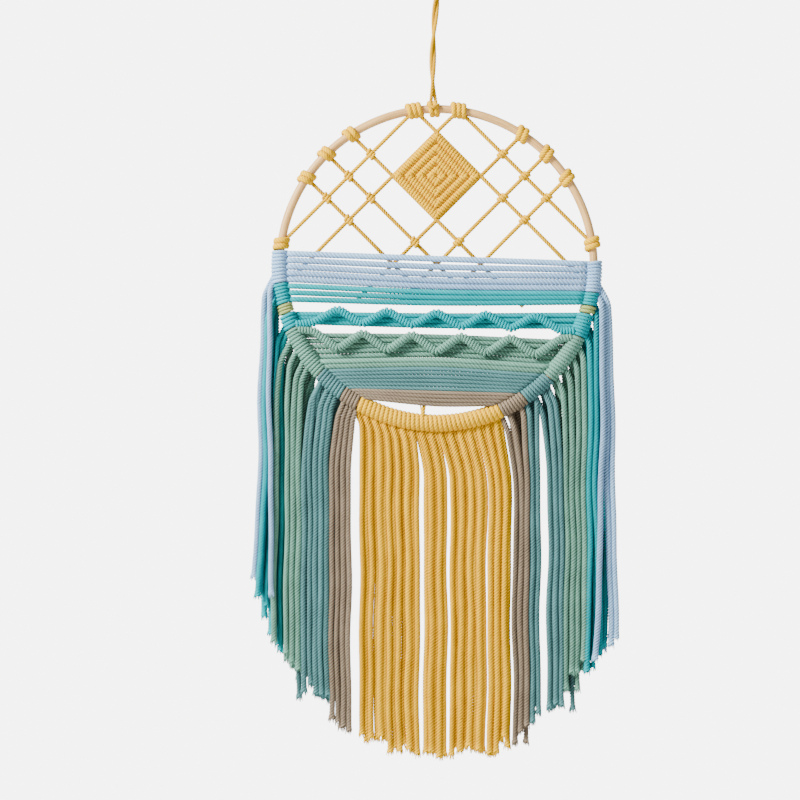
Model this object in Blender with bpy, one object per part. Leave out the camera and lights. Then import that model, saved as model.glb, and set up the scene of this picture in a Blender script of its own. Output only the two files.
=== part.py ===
"""Round macrame wall hanging: a wooden hoop wound with coloured cotton cord.

The hoop hangs from a twisted cord loop. Its upper half holds a golden diamond net, its lower half rows of
level cords with two zigzag bars that form a row of diamonds, and a long fringe falls from its rim.
Lengths are in metres. +X is the viewer's right, +Z is up, the front faces -Y, and the origin is where the
nail bears in the hanging loop. Shapes are worked out about the hoop's centre and then moved down to it.
"""

import math
import random
from collections import namedtuple

import bmesh
import bpy
from mathutils import Vector

# Hoop: a wooden ring of round stock, 300 mm across.
HOOP_RADIUS = 0.1454
WOOD_RADIUS = 0.0044
HOOP_DROP = 0.286
HOOP_STEPS = 60
SECTION_SIDES = 8

# Cord that is wound round the hoop. A sleeve of it has one ridge for each cord.
FIT_GAP = 0.00033
SLEEVE_GAP = 0.00036
CREST = 0.0080
VALLEY = 0.0070
RIM = HOOP_RADIUS + CREST

# Level cords across the hoop fall a little to the right.
CORD_TILT = math.radians(1.85)
FRONT_DEPTH = -0.0054
ZONE_DEPTH = 0.0024
LEAD_IN = 0.0058

# Fringe. The side strands hang in three layers, the golden ones in two.
STRAND_HALF = 0.0020
Layer = namedtuple("Layer", "facet root_depth depth")
LAYERS = {
    "front": Layer("outer_front", -0.0068, -0.0027),
    "middle": Layer("outer", 0.0012, 0.0020),
    "back": Layer("outer_back", 0.0068, 0.0067),
}
ROOT_HALF = 0.00115
ROOT_REACH = 0.0024
SHOULDER_DROP = 0.010
RIM_CLEARANCE = RIM + STRAND_HALF + 0.0006
STRAND_PITCH = 0.0047
MIDDLE_HEIGHT = -0.198
LENGTH_SPREAD = 0.0065
SWAY = 0.0006

# One row for each colour that winds the hoop on both sides: where its sleeve starts and stops below the
# level line on each side, in degrees, the length of its fringe on each side, and half the height of its
# level cords at their middle and at their ends.
Band = namedtuple("Band", "name left_from left_to right_from right_to ridges left_fall right_fall half end_half")
BANDS = (
    Band("lavender_cords", -5.8, 6.2, -1.8, 9.7, 5, 0.294, 0.345, 0.0021, 0.0018),
    Band("turquoise_cords", 6.2, 13.9, 9.7, 14.6, 3, 0.288, 0.322, 0.0021, 0.0016),
    Band("turquoise_band", 17.6, 23.3, 17.6, 26.5, 4, 0.292, 0.314, 0.0019, 0.0013),
    Band("sage_cords", 23.3, 42.5, 26.5, 44.9, 8, 0.286, 0.292, 0.0018, 0.0015),
    Band("dusty_teal_cords", 42.5, 53.4, 44.9, 56.4, 6, 0.286, 0.293, 0.0016, 0.0012),
    Band("taupe_cords", 53.4, 60.1, 56.4, 66.3, 4, 0.299, 0.302, 0.0017, 0.00062),
)
# Short olive bindings between the two turquoise sleeves: start and stop, in degrees of the hoop's circle.
TIES = (("olive_tie_left", 193.9, 197.6), ("olive_tie_right", -17.6, -14.6))
TIE_RIDGES = 2

# Height of each level cord over the hoop's centre, at the middle, by the ridge it comes from.
FRONT_CORDS = {
    "lavender_cords": {0: 0.0063, 1: -0.0011, 2: -0.0079, 3: -0.0139, 4: -0.0191},
    "turquoise_cords": {0: -0.0245, 1: -0.0295, 2: -0.0344},
    "sage_cords": {6: -0.0873, 7: -0.0914},
    "dusty_teal_cords": {0: -0.0952, 1: -0.0989, 2: -0.1026, 3: -0.1063, 4: -0.1100, 5: -0.1137},
    "taupe_cords": {0: -0.1173, 1: -0.1209, 2: -0.1245, 3: -0.1281},
}
ZONE_CORDS = {
    "turquoise_band": {0: -0.0460, 1: -0.0505, 2: -0.0550},
    "sage_cords": {1: -0.0655, 2: -0.0695, 3: -0.0735, 4: -0.0775, 5: -0.0815},
}

# Zigzag bars of hitches: the ridge each starts from, and the heights of its ends and of its turns.
Zigzag = namedtuple("Zigzag", "ridge corner turn")
ZIGZAGS = {
    "turquoise_band": Zigzag(3, -0.0562, -0.0427),
    "sage_cords": Zigzag(0, -0.0637, -0.0798),
}
DIAMONDS = 5
DIAMOND_WIDTH = 0.0456
ZIGZAG_DEPTH = -0.0041
ZIGZAG_CREST = 0.0042
ZIGZAG_VALLEY = 0.0035
ZIGZAG_LEAD = 0.0017
ZIGZAG_FLATTEN = 0.9
ZIGZAG_SIDES = 6
RIDGES_PER_RUN = 4

# Side fringe at the middle height, from the outermost strand inwards: a colour's letter for each place.
LETTERS = {"L": ("lavender_cords",), "T": ("turquoise_cords", "turquoise_band"), "S": ("sage_cords",),
           "D": ("dusty_teal_cords",), "B": ("taupe_cords",)}
Side = namedtuple("Side", "sign outermost pitch drift drift_places front middle back")
SIDES = {
    "left": Side(-1, 0.1642, 0.00517, 0.0038, 8, "L.LS.SSSDDDDDBBBB", "TTTTTSSD.........", "LLLTTS.S........."),
    "right": Side(1, 0.1629, 0.00533, -0.0018, 8, "LLLTTSSSSDDD.DDBBB", ".TTT.SSD.......B..", "LL.TTSS..........."),
}

# Golden fringe: clumps of strands between small gaps, and its sleeve along the bottom of the hoop.
Clump = namedtuple("Clump", "first last strands")
CLUMPS = (Clump(-0.0692, -0.0180, 13), Clump(-0.0095, 0.0070, 5), Clump(0.0142, 0.0435, 8),
          Clump(0.0492, 0.0663, 6))
GOLD_FROM, GOLD_TO, GOLD_RIDGES = 240.5, 293.7, 16
GOLD_FALL = 0.3015
GOLD_LAYERS = (Layer("outer_front", -0.0068, -0.0024), Layer("outer_back", 0.0068, 0.0026))
TUFT_RIDGE, TUFT_LENGTH = 7, 0.009

# Golden net: cords at 45 degrees, named by their height where they cross the middle line, tied to the hoop.
NET_HALF = 0.0018
MEDALLION_HEIGHT = 0.08335
MEDALLION_REACH = 0.0407
MEDALLION_ROWS = 4
MEDALLION_CREST = 0.0043
MEDALLION_VALLEY = 0.0023
MEDALLION_EDGE = 0.0016
MEDALLION_HITCH = 0.0011
KNOT_HALF = 0.0043
KNOT_DEPTH = 0.0020
# Rings of a crossing knot from its rim inwards: share of its half width, height over the net's plane.
KNOT_RINGS = ((0.86, 0.0036), (0.62, 0.0028), (0.40, 0.0044))
NET_MARGIN = 0.0034
NET_HEIGHTS = {name: MEDALLION_HEIGHT + MEDALLION_REACH * step for name, step in (
    ("outer", 2), ("edge", 1), ("lower", -1), ("low", -2), ("lowest", -3))}
NET_DIP_FROM, NET_DIP_TO = 0.022, 0.008
NET_DIP_STEPS = (0.019, 0.014, NET_DIP_TO)
NET_DIP = {"falling": 0.0032, "rising": 0.0072}
NET_END = -0.0350
HOOP_KNOT_SPAN = 2.1
HOOP_KNOT_CREST, HOOP_KNOT_VALLEY = 0.0078, 0.0068
TOP_KNOT_SPAN = 2.7
SIDE_KNOT_ANGLE = 8.26
# The falling cords from the top down: angle of the hoop knot a cord starts from where that isn't on its own
# line, the rising cords it is knotted with, the medallion's ports it passes between them, and how far out
# its loose end lies (0: behind the turquoise cords; None: tied to the hoop). The rising cords mirror them.
Diagonal = namedtuple("Diagonal", "line start before corners after end_x")
DIAGONALS = (
    Diagonal("outer", 81.9, ("lower", "low", "lowest"), (), (), None),
    Diagonal("edge", 98.1, (), ("top falling-", "right falling+"), ("low", "lowest"), 0.1342),
    Diagonal("lower", None, ("outer",), ("left falling-", "bottom falling+"), ("low",), 0),
    Diagonal("low", None, ("outer", "edge", "lower"), (), (), 0),
    Diagonal("lowest", None, ("outer", "edge"), (), (), 0),
)

# Hanging loop: a cord folded over the hoop with a lark's head, twisted, knotted and looped over a nail.
LARKS_HEAD_ANGLE, LARKS_HEAD_SPAN = 91.2, 2.1
TWIST_TOP = 0.2455
TWIST_TURN = 0.043
TWIST_STEPS = 13
TWIST_WIDE, TWIST_NARROW = 0.0031, 0.0019
LOOP_KNOT_RADIUS = 0.0050
LOOP_KNOT_HEIGHT = 0.0100
LOOP_HALF = 0.0017
# The loop's right half from the knot to the nail: distance from its middle, height over the knot's top.
LOOP_SIDE = ((0.0034, 0.0045), (0.0062, 0.0120), (0.0068, 0.0200), (0.0046, 0.0268))

# Names of a sleeve's long faces, in the order of its section's corners.
FACETS = ("outer_back", "back", "inner_back", "inner", "inner_front", "front", "outer_front", "outer")
FRONT = Vector((0, -1, 0))

# Base colour and roughness of each node's material.
FINISHES = {
    "hoop": ((0.78, 0.64, 0.47), 0.55),
    "hanging_loop": ((0.80, 0.50, 0.06), 0.9),
    "golden_net": ((0.80, 0.50, 0.06), 0.9),
    "golden_fringe": ((0.80, 0.50, 0.06), 0.9),
    "lavender_cords": ((0.55, 0.64, 0.87), 0.9),
    "turquoise_cords": ((0.03, 0.42, 0.42), 0.9),
    "turquoise_band": ((0.03, 0.42, 0.42), 0.9),
    "sage_cords": ((0.36, 0.54, 0.42), 0.9),
    "dusty_teal_cords": ((0.16, 0.36, 0.38), 0.9),
    "taupe_cords": ((0.38, 0.30, 0.23), 0.9),
    "olive_tie_left": ((0.44, 0.48, 0.20), 0.9),
    "olive_tie_right": ((0.44, 0.48, 0.20), 0.9),
}


Stop = namedtuple("Stop", "point half")


def polar(angle, radius, depth=0.0):
    """Point in the hoop's plane at an angle and radius about its centre, and a depth behind that plane."""
    return Vector((radius * math.cos(angle), depth, radius * math.sin(angle)))


def hoop_section(angle, radius):
    """Eight points round the wood at one angle of the hoop, from its outer back corner."""
    turn = math.tau / SECTION_SIDES
    corners = (turn * (corner + 0.5) for corner in range(SECTION_SIDES))
    return [polar(angle, HOOP_RADIUS + radius * math.cos(c), radius * math.sin(c)) for c in corners]


def faceted_section(angle, radius):
    """The same points where the hoop's straight steps pass that angle, so a sleeve keeps an even gap to them."""
    step = math.tau / HOOP_STEPS
    below = math.floor(angle / step + 1e-9)
    share = angle / step - below
    near = hoop_section(below * step, radius)
    far = hoop_section((below + 1) * step, radius)
    return [a.lerp(b, share) for a, b in zip(near, far)]


def square_section(point, heading, half_width, half_depth):
    """Four corners about a point, counter-clockwise as seen from where the strand heads."""
    side = heading.cross(FRONT).normalized()
    back = heading.cross(side).normalized()
    signs = ((1, 1), (-1, 1), (-1, -1), (1, -1))
    return [point + side * half_width * a + back * half_depth * b for a, b in signs]


def round_section(point, heading, radius, flatten, sides, turn=0.0):
    side = heading.cross(FRONT).normalized()
    back = heading.cross(side).normalized()
    angles = (turn + math.tau * corner / sides for corner in range(sides))
    return [point + side * radius * math.cos(a) + back * radius * flatten * math.sin(a) for a in angles]


def headings(route):
    """Direction of travel at each point of a route, between its neighbours."""
    last = len(route) - 1
    return [(route[min(i + 1, last)] - route[max(i - 1, 0)]).normalized() for i in range(len(route))]


def best_turn(points, target):
    """The points, started from the one that lies best against the first of the target loop."""
    count = len(points)
    turned = [points[shift:] + points[:shift] for shift in range(count)]
    return min(turned, key=lambda loop: sum((a - b).length_squared for a, b in zip(loop, target)))


def face_middle(face):
    return sum((corner.co for corner in face.verts), Vector()) / len(face.verts)


class Knotwork:
    """One closed mesh of sleeves, knots and strands that share their corners."""

    def __init__(self):
        self.mesh = bmesh.new()

    def loop(self, points):
        return [self.mesh.verts.new(point) for point in points]

    def skin(self, near, far):
        """Faces between two loops that both run counter-clockwise about the way from near to far."""
        count = len(near)
        pairs = ((i, (i + 1) % count) for i in range(count))
        return [self.mesh.faces.new((near[i], near[j], far[j], far[i])) for i, j in pairs]

    def zip_loops(self, near, far):
        """Triangles between two loops of unlike count."""
        start = min(range(len(far)), key=lambda i: (far[i].co - near[0].co).length)
        far = far[start:] + far[:start]
        i = j = 0
        while i < len(near) or j < len(far):
            a, b = near[i % len(near)], far[j % len(far)]
            next_a, next_b = near[(i + 1) % len(near)], far[(j + 1) % len(far)]
            near_turn = (i + 1) / len(near) <= (j + 1) / len(far)
            if near_turn:
                self.mesh.faces.new((a, next_a, b))
                i += 1
            else:
                self.mesh.faces.new((a, next_b, b))
                j += 1

    def open_port(self, face):
        """Takes a face away and gives its corners, counter-clockwise as seen from outside."""
        corners = list(face.verts)
        self.mesh.faces.remove(face)
        return corners

    def sleeve(self, start, stop, ridges, crest=CREST, valley=VALLEY):
        """Ridged sleeve round the wood between two angles of the hoop.

        Gives one entry for each ridge in that order: its faces on either side of the crest, by facet name.
        """
        half = (stop - start) / (2 * ridges)
        outer = [self.loop(hoop_section(start + half * i, crest if i % 2 else valley))
                 for i in range(2 * ridges + 1)]
        step = math.tau / HOOP_STEPS
        between = range(math.floor(start / step) + 1, math.ceil(stop / step))
        angles = [start] + [step * i for i in between] + [stop]
        inner = [self.loop(faceted_section(angle, WOOD_RADIUS + FIT_GAP)) for angle in angles]
        halves = [dict(zip(FACETS, self.skin(a, b))) for a, b in zip(outer, outer[1:])]
        for a, b in zip(inner, inner[1:]):
            self.skin(b, a)
        self.skin(inner[0], outer[0])
        self.skin(outer[-1], inner[-1])
        return [(halves[2 * i], halves[2 * i + 1]) for i in range(ridges)]

    def follow(self, near, route, ways):
        """Four-sided skin from a loop along a route of stops. Gives the last loop."""
        centre = sum((corner.co for corner in near), Vector()) / len(near)
        for stop, way in zip(route, ways):
            shifted = [corner.co + stop.point - centre for corner in near]
            far = self.loop(best_turn(square_section(stop.point, way, stop.half, stop.half), shifted))
            self.skin(near, far)
            near, centre = far, stop.point
        return near

    def strand(self, face, route):
        """Four-sided strand that grows out of a face and ends at the route's last stop."""
        root = face_middle(face)
        ways = headings([root] + [stop.point for stop in route])[1:]
        self.mesh.faces.new(self.follow(self.open_port(face), route, ways))

    def span(self, face, other, route):
        """Four-sided strand along a route from one face to another."""
        root, end = face_middle(face), face_middle(other)
        ways = headings([root] + [stop.point for stop in route] + [end])[1:-1]
        near = self.follow(self.open_port(face), route, ways)
        shifted = [corner.co + end - route[-1].point for corner in near]
        target = self.open_port(other)[::-1]
        turns = [target[shift:] + target[:shift] for shift in range(4)]
        order = min(turns, key=lambda loop: sum((a.co - b).length_squared for a, b in zip(loop, shifted)))
        self.skin(near, order)

    def bar(self, face, other, route, radii, flatten, sides):
        """Ridged round bar along a route from one face to another."""
        port, target = self.open_port(face), self.open_port(other)[::-1]
        sections = [round_section(point, way, radius, flatten, sides)
                    for point, way, radius in zip(route, headings(route), radii)]
        loops = [self.loop(points) for points in sections]
        self.zip_loops(port, loops[0])
        for near, far in zip(loops, loops[1:]):
            self.skin(near, far)
        self.zip_loops(loops[-1], target)

    def finish(self, name):
        """Makes the node from the mesh, at the hoop's place under the nail."""
        bmesh.ops.triangulate(self.mesh, faces=self.mesh.faces)
        self.mesh.normal_update()
        data = bpy.data.meshes.new(name)
        self.mesh.to_mesh(data)
        self.mesh.free()
        node = bpy.data.objects.new(name, data)
        node.location.z = -HOOP_DROP
        bpy.context.collection.objects.link(node)
        data.materials.append(material(name))
        return node


def material(name):
    """Principled material in the node's own colour."""
    colour, roughness = FINISHES[name]
    made = bpy.data.materials.new(name)
    made.use_nodes = True
    shader = made.node_tree.nodes["Principled BSDF"]
    shader.inputs["Base Color"].default_value = (*colour, 1)
    shader.inputs["Roughness"].default_value = roughness
    shader.inputs["Metallic"].default_value = 0
    return made


def hoop():
    work = Knotwork()
    step = math.tau / HOOP_STEPS
    loops = [work.loop(hoop_section(step * i, WOOD_RADIUS)) for i in range(HOOP_STEPS)]
    for near, far in zip(loops, loops[1:] + loops[:1]):
        work.skin(near, far)
    node = work.finish("hoop")
    node.data.shade_smooth()
    node.data.set_sharp_from_angle(angle=math.radians(50))


def side_sleeve(work, band, side):
    """Sleeve of a colour on one side of the hoop; its ridges from the top one down."""
    margin = SLEEVE_GAP / HOOP_RADIUS / 2
    if side == "left":
        start, stop = math.pi + math.radians(band.left_from), math.pi + math.radians(band.left_to)
        return work.sleeve(start + margin, stop - margin, band.ridges)
    start, stop = -math.radians(band.right_to), -math.radians(band.right_from)
    ridges = work.sleeve(start + margin, stop - margin, band.ridges)
    return [(second, first) for first, second in ridges[::-1]]


def level_height(x, height):
    """Height of a level cord at x, from its height at the middle of the hoop."""
    return height - x * math.tan(CORD_TILT)


def lead_in(face, depth):
    """Point a little way in from a sleeve's face, between square to the hoop and level."""
    root = face_middle(face)
    inward = Vector((-root.x, 0, -root.z)).normalized()
    level = Vector((-math.copysign(1, root.x), 0, 0))
    point = root + (inward + level).normalized() * LEAD_IN
    point.y = depth
    return point


def level_cords(work, band, ridges, heights, depth, facet):
    for ridge, height in heights.items():
        faces = [ridges[side][ridge][0][facet] for side in SIDES]
        left, right = (Stop(lead_in(face, depth), band.end_half) for face in faces)
        work.span(*faces, [left, Stop(Vector((0, depth, height)), band.half), right])


def zigzag(work, name, ridges):
    """Bar of hitches that turns up and down across the hoop, half a row of diamonds."""
    shape = ZIGZAGS[name]
    faces = [ridges[side][shape.ridge][0]["inner_front"] for side in SIDES]
    turns = [lead_in(faces[0], ZIGZAG_DEPTH)]
    for i in range(2 * DIAMONDS + 1):
        x = DIAMOND_WIDTH / 2 * (i - DIAMONDS)
        turns.append(Vector((x, ZIGZAG_DEPTH, level_height(x, (shape.corner, shape.turn)[i % 2]))))
    turns.append(lead_in(faces[1], ZIGZAG_DEPTH))
    route, radii = [turns[0]], [ZIGZAG_LEAD]
    for number, (start, stop) in enumerate(zip(turns, turns[1:])):
        steps = 1 if number in (0, len(turns) - 2) else 2 * RIDGES_PER_RUN
        for i in range(1, steps + 1):
            route.append(start.lerp(stop, i / steps))
            radii.append(ZIGZAG_CREST if i % 2 and steps > 1 else ZIGZAG_VALLEY)
    radii[-1] = ZIGZAG_LEAD
    work.bar(*faces, route, radii, ZIGZAG_FLATTEN, ZIGZAG_SIDES)


def side_places():
    """Where each colour's side strands hang: by node and side, a list of (ridge, layer, top, middle, end) x."""
    angles = {}
    for band in BANDS:
        for side in SIDES:
            start = band.left_from if side == "left" else band.right_from
            stop = band.left_to if side == "left" else band.right_to
            step = (stop - start) / band.ridges
            angles[band.name, side] = [start + step * (i + 0.5) for i in range(band.ridges)]
    found = {(band.name, side): [] for band in BANDS for side in SIDES}
    for side, row in SIDES.items():
        layers = {"front": row.front, "middle": row.middle, "back": row.back}
        hanging = []
        for letter, names in LETTERS.items():
            places = sorted((i, layer) for layer, text in layers.items()
                            for i, found_letter in enumerate(text) if found_letter == letter)
            roots = [(name, ridge) for name in names for ridge in range(len(angles[name, side]))]
            assert len(places) == len(roots), (side, letter, len(places), len(roots))
            for (place, layer), (name, ridge) in zip(places, roots):
                hanging.append((layer, place, name, ridge))
        for layer in layers:
            limit = 0.0
            for _, place, name, ridge in sorted((h for h in hanging if h[0] == layer), reverse=True):
                angle = math.radians(angles[name, side][ridge])
                middle = row.outermost - row.pitch * place
                top = max(middle, RIM_CLEARANCE * math.cos(angle), limit)
                limit = top + STRAND_PITCH
                drift = row.drift * max(0.0, 1 - place / row.drift_places)
                xs = [row.sign * x for x in (top, middle, middle + drift)]
                found[name, side].append((ridge, layer, *xs))
    return found


def fall_route(face, layer, xs, length):
    """Stops of a hanging strand: out of its face, over to its place, and down. xs: top, middle and end."""
    root = face_middle(face)
    out = root + face.normal * ROOT_REACH
    out.y = layer.root_depth
    heights = (root.z - SHOULDER_DROP, MIDDLE_HEIGHT, root.z - length)
    falls = [Stop(Vector((x, layer.depth, z)), STRAND_HALF) for x, z in zip(xs, heights)]
    return [Stop(out, ROOT_HALF), *falls]


def side_fringe(work, band, ridges, places, chance):
    for side in SIDES:
        fall = band.left_fall if side == "left" else band.right_fall
        for ridge, name, top, middle, end in places[band.name, side]:
            layer = LAYERS[name]
            face = ridges[side][ridge][1][layer.facet]
            face.normal_update()
            length = fall + chance.uniform(-LENGTH_SPREAD, LENGTH_SPREAD)
            end += chance.uniform(-SWAY, SWAY)
            work.strand(face, fall_route(face, layer, (top, middle, end), length))


def band_node(band, places, chance):
    """One colour: its two sleeves, its cords across the hoop and its fringe, fused at the sleeves' ridges."""
    work = Knotwork()
    ridges = {side: side_sleeve(work, band, side) for side in SIDES}
    level_cords(work, band, ridges, FRONT_CORDS.get(band.name, {}), FRONT_DEPTH, "inner_front")
    level_cords(work, band, ridges, ZONE_CORDS.get(band.name, {}), ZONE_DEPTH, "inner_back")
    if band.name in ZIGZAGS:
        zigzag(work, band.name, ridges)
    side_fringe(work, band, ridges, places, chance)
    work.finish(band.name)


def tie_node(name, start, stop):
    work = Knotwork()
    margin = SLEEVE_GAP / HOOP_RADIUS / 2
    work.sleeve(math.radians(start) + margin, math.radians(stop) - margin, TIE_RIDGES)
    work.finish(name)


def golden_fringe(chance):
    """Lark's heads along the bottom of the hoop, two strands from each."""
    work = Knotwork()
    margin = SLEEVE_GAP / HOOP_RADIUS / 2
    ridges = work.sleeve(math.radians(GOLD_FROM) + margin, math.radians(GOLD_TO) - margin, GOLD_RIDGES)
    places = [clump.first + (clump.last - clump.first) * i / (clump.strands - 1)
              for clump in CLUMPS for i in range(clump.strands)]
    for i, place in enumerate(places):
        layer = GOLD_LAYERS[i % 2]
        face = ridges[i // 2][i % 2][layer.facet]
        face.normal_update()
        root = face_middle(face)
        length = GOLD_FALL + chance.uniform(-LENGTH_SPREAD, LENGTH_SPREAD)
        top = root.x + (place - root.x) * 0.35
        end = place + chance.uniform(-SWAY, SWAY)
        work.strand(face, fall_route(face, layer, (top, place, end), length))
    tuft = ridges[TUFT_RIDGE][0]["inner_front"]
    root = face_middle(tuft)
    tip = root + Vector((0, 0, TUFT_LENGTH))
    work.strand(tuft, [Stop(root.lerp(tip, 0.35), ROOT_HALF), Stop(tip, ROOT_HALF)])
    work.finish("golden_fringe")


class Knot:
    """Crossing knot of the net: four ports that face along the two families of cords, ridged front and back."""

    def __init__(self, work, x, z):
        self.centre = Vector((x, 0, z))
        falling, rising = Vector((1, 0, -1)).normalized(), Vector((1, 0, 1)).normalized()
        turns = ((1, 1), (-1, 1), (-1, -1), (1, -1))
        rims = {}
        for face_side in (-1, 1):
            corners = [self.centre + (falling * a + rising * b) * KNOT_HALF for a, b in turns]
            loop = work.loop([corner + Vector((0, KNOT_DEPTH * face_side, 0)) for corner in corners])
            rims[face_side] = loop
            for share, depth in KNOT_RINGS:
                points = [self.centre + (corner - self.centre) * share + Vector((0, depth * face_side, 0))
                          for corner in corners]
                inner = work.loop(points)
                if face_side < 0:
                    work.skin(loop, inner)
                else:
                    work.skin(inner, loop)
                loop = inner
            work.mesh.faces.new(loop if face_side < 0 else loop[::-1])
        sides = work.skin(rims[1], rims[-1])
        self.ports = dict(zip(("rising+", "falling-", "rising-", "falling+"), sides))


class Medallion:
    """Solid diamond of concentric rows of hitches in the middle of the net."""

    def __init__(self, work):
        half = MEDALLION_REACH / math.sqrt(2)
        count = 2 * MEDALLION_ROWS
        cell = half / (count - 0.5)
        falling, rising = Vector((1, 0, -1)).normalized(), Vector((1, 0, 1)).normalized()
        centre = Vector((0, 0, MEDALLION_HEIGHT))
        span = range(-count, count + 1)
        grids = {}
        for face_side in (-1, 1):
            grid = {}
            for i in span:
                for j in span:
                    row = max(abs(i), abs(j))
                    if row == count:
                        depth = MEDALLION_EDGE
                    elif row % 2:
                        depth = MEDALLION_CREST - (MEDALLION_HITCH if (i + j) % 2 else 0)
                    else:
                        depth = MEDALLION_VALLEY
                    place = centre + (falling * i + rising * j) * cell
                    grid[i, j] = work.mesh.verts.new(place + Vector((0, depth * face_side, 0)))
            for i in span[:-1]:
                for j in span[:-1]:
                    corners = [grid[i, j], grid[i + 1, j], grid[i + 1, j + 1], grid[i, j + 1]]
                    work.mesh.faces.new(corners if face_side < 0 else corners[::-1])
            grids[face_side] = grid
        rim = ([(i, -count) for i in span[:-1]] + [(count, j) for j in span[:-1]]
               + [(i, count) for i in span[:0:-1]] + [(-count, j) for j in span[:0:-1]])
        front, back = [grids[-1][key] for key in rim], [grids[1][key] for key in rim]
        walls = work.skin(back, front)
        steps = 2 * count
        self.ports = {
            "bottom rising-": walls[steps - 1], "bottom falling+": walls[steps],
            "right falling+": walls[2 * steps - 1], "right rising+": walls[2 * steps],
            "top rising+": walls[3 * steps - 1], "top falling-": walls[3 * steps],
            "left falling-": walls[4 * steps - 1], "left rising-": walls[0],
        }


def net_route(start, stop, family):
    """Stops of a net cord between two points; low down it dips behind the level cords."""
    points = [start, stop]
    for height in NET_DIP_STEPS:
        if min(start.z, stop.z) < height < max(start.z, stop.z):
            points.append(start.lerp(stop, (height - start.z) / (stop.z - start.z)))
    points.sort(key=lambda point: -point.z)
    for point in points:
        share = min(1.0, max(0.0, (NET_DIP_FROM - point.z) / (NET_DIP_FROM - NET_DIP_TO)))
        point.y = NET_DIP[family] * share * share * (3 - 2 * share)
    return [Stop(point, NET_HALF) for point in points]


def crossing(falling, rising):
    """Where a falling and a rising cord of the net cross."""
    fall, rise = NET_HEIGHTS[falling], NET_HEIGHTS[rising]
    return Vector(((fall - rise) / 2, 0, (fall + rise) / 2))


def mirrored(name):
    """Name of a port, or of a corner of the medallion and its port, seen in the mirror."""
    for a, b in (("falling+", "rising-"), ("falling-", "rising+"), ("left", "right")):
        name = name.replace(a, "#").replace(b, a).replace("#", b)
    return name


class Net:
    """The net's knots and medallion, and the way its cords run between them."""

    def __init__(self):
        self.work = Knotwork()
        self.medallion = Medallion(self.work).ports
        self.knots = {}
        self.hoop_knots = {}
        for row in DIAGONALS:
            for other in row.before + row.after:
                for sign in (1, -1):
                    spot = crossing(row.line, other)
                    spot.x *= sign
                    if self.key(spot) not in self.knots:
                        self.knots[self.key(spot)] = Knot(self.work, spot.x, spot.z).ports

    @staticmethod
    def key(spot):
        return round(spot.x, 5), round(spot.z, 5)

    def hoop_port(self, angle, span, sign, lead):
        """Inner face of the hoop knot at an angle, on the side that leads to the cord."""
        angle = angle if sign > 0 else 180 - angle
        key = round(angle, 3)
        if key not in self.hoop_knots:
            start, stop = math.radians(angle - span), math.radians(angle + span)
            self.hoop_knots[key] = self.work.sleeve(start, stop, 2, HOOP_KNOT_CREST, HOOP_KNOT_VALLEY)
        ridge, half = (0, 1) if sign * lead > 0 else (1, 0)
        return self.hoop_knots[key][ridge][half]["inner"]

    def knot_ports(self, row, other, sign):
        """The faces by which a cord enters and leaves its knot with another."""
        spot = crossing(row.line, other)
        spot.x *= sign
        names = ("falling-", "falling+")
        return [self.knots[self.key(spot)][name if sign > 0 else mirrored(name)] for name in names]

    def cord(self, row, sign):
        """One diagonal cord from its upper end to its lower end; sign -1 gives its mirror image."""
        family = "falling" if sign > 0 else "rising"
        way = Vector((sign, 0, -1)).normalized() * NET_MARGIN
        if row.start is None:
            angle = 135 - math.degrees(math.asin(NET_HEIGHTS[row.line] / math.sqrt(2) / HOOP_RADIUS))
            faces = [self.hoop_port(angle, HOOP_KNOT_SPAN, sign, 1)]
        else:
            faces = [self.hoop_port(row.start, TOP_KNOT_SPAN, sign, 1)]
        for other in row.before:
            faces += self.knot_ports(row, other, sign)
        for name in row.corners:
            faces.append(self.medallion[name if sign > 0 else mirrored(name)])
        for other in row.after:
            faces += self.knot_ports(row, other, sign)
        if row.end_x is None:
            faces.append(self.hoop_port(SIDE_KNOT_ANGLE, HOOP_KNOT_SPAN, sign, -1))
        for leaving, arriving in zip(faces[::2], faces[1::2]):
            route = net_route(face_middle(leaving) + way, face_middle(arriving) - way, family)
            self.work.span(leaving, arriving, route)
        if row.end_x is not None:
            line = NET_HEIGHTS[row.line]
            reach = row.end_x or (line - NET_END) / (1 - sign * math.tan(CORD_TILT))
            stop = Vector((sign * reach, 0, line - reach))
            self.work.strand(faces[-1], net_route(face_middle(faces[-1]) + way, stop, family))


def golden_net():
    """Diagonal cords tied to the hoop, knotted where they cross, with the medallion in their middle."""
    net = Net()
    for row in DIAGONALS:
        for sign in (1, -1):
            net.cord(row, sign)
    net.work.finish("golden_net")


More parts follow.
